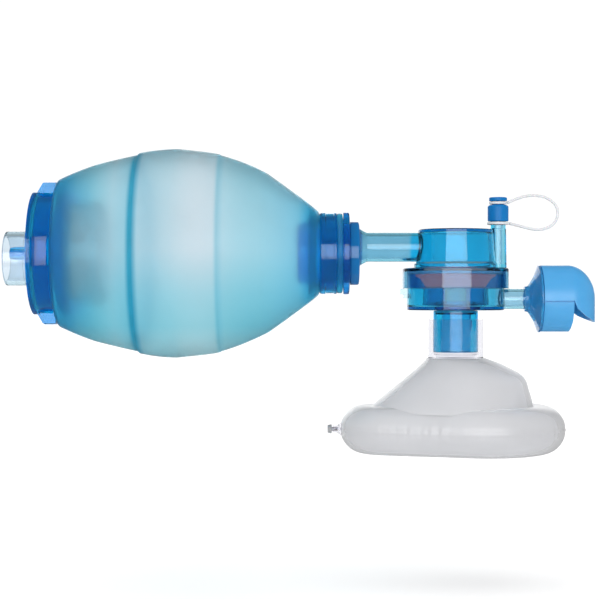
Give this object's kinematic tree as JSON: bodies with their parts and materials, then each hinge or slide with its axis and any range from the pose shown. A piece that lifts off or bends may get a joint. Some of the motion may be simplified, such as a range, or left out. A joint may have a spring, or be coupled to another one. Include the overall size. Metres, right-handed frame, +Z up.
{
  "type": "bag valve mask",
  "caption": "Hand resuscitator: a self-inflating frosted bag, a clear blue patient valve with exhaust hood and capped pressure port, and an air-cushion face mask.",
  "frame": {"origin": "centre of the patient connector's mouth, on the axis of the valve and the mask", "axes": "+X from the bag towards the exhaust hood, +Z up through the valve, away from the mask; Y across"},
  "size_m": [0.2879, 0.102, 0.1489],
  "materials": {
    "bag_silicone": "frosted translucent silicone",
    "clear_blue": "transparent blue polycarbonate, moulded",
    "deep_blue": "transparent deep blue polycarbonate, moulded",
    "clear_plastic": "clear polycarbonate, moulded",
    "coral_silicone": "matt coral silicone",
    "seal_rubber": "soft pale seal",
    "sky_blue": "opaque satin sky blue",
    "cap_blue": "opaque satin deep blue",
    "tether_clear": "frosted soft plastic",
    "mask_pvc": "clear soft vinyl",
    "cushion_film": "frosted thin vinyl film, air filled",
    "nozzle_grey": "matt grey"
  },
  "bodies": {
    "connector": {"patient_connector": "clear_blue", "connector_seal": "seal_rubber"},
    "valve": {"valve_top": "clear_blue", "housing_seal": "seal_rubber", "valve_base": "clear_blue", "lock_clip": "clear_plastic", "exhaust_port": "clear_blue", "neck_seal": "seal_rubber", "tether_port_ring": "tether_clear", "cap_tether": "tether_clear"},
    "bag": {"bag_shell": "bag_silicone", "rear_collar": "clear_blue", "rear_cap": "clear_blue", "rear_gasket": "coral_silicone", "reservoir_port": "clear_plastic", "oxygen_nipple": "clear_blue", "intake_valve_body": "clear_plastic", "neck_collar": "deep_blue", "neck_adapter": "deep_blue"},
    "intake": {"intake_flap": "coral_silicone"},
    "duckbill": {"duckbill_valve": "coral_silicone"},
    "deflector": {"exhaust_deflector": "sky_blue"},
    "cap": {"port_cap": "cap_blue", "tether_cap_ring": "tether_clear"},
    "mask": {"mask_collar": "mask_pvc", "mask_dome": "mask_pvc", "mask_cushion": "cushion_film", "inflation_nozzle": "mask_pvc"},
    "stopper": {"inflation_stopper": "nozzle_grey"}
  },
  "joints": [
    {"name": "valve_swivel", "type": "hinge", "parent": "connector", "child": "valve", "pos_m": [0, 0, 0.02], "axis": [0, 0, 1], "continuous": true},
    {"name": "bag_swivel", "type": "hinge", "parent": "valve", "child": "bag", "pos_m": [-0.06, 0, 0.0483], "axis": [1, 0, 0], "continuous": true},
    {"name": "deflector_turn", "type": "hinge", "parent": "valve", "child": "deflector", "pos_m": [0.048, 0, 0.026], "axis": [1, 0, 0], "continuous": true},
    {"name": "cap_lift", "type": "slide", "parent": "valve", "child": "cap", "axis": [0, 0, 1], "range_m": [0, 0.008], "deforming": ["cap_tether"]},
    {"name": "duckbill_lift", "type": "slide", "parent": "valve", "child": "duckbill", "axis": [0, 0, 1], "range_m": [0, 0.0012]},
    {"name": "intake_open", "type": "slide", "parent": "bag", "child": "intake", "axis": [1, 0, 0], "range_m": [0, 0.002], "stiffness_N_per_m": 20},
    {"name": "mask_pull", "type": "slide", "parent": "connector", "child": "mask", "axis": [0, 0, -1], "range_m": [0, 0.042]},
    {"name": "stopper_pull", "type": "slide", "parent": "mask", "child": "stopper", "axis": [-1, 0, 0], "range_m": [0, 0.005]}
  ]
}
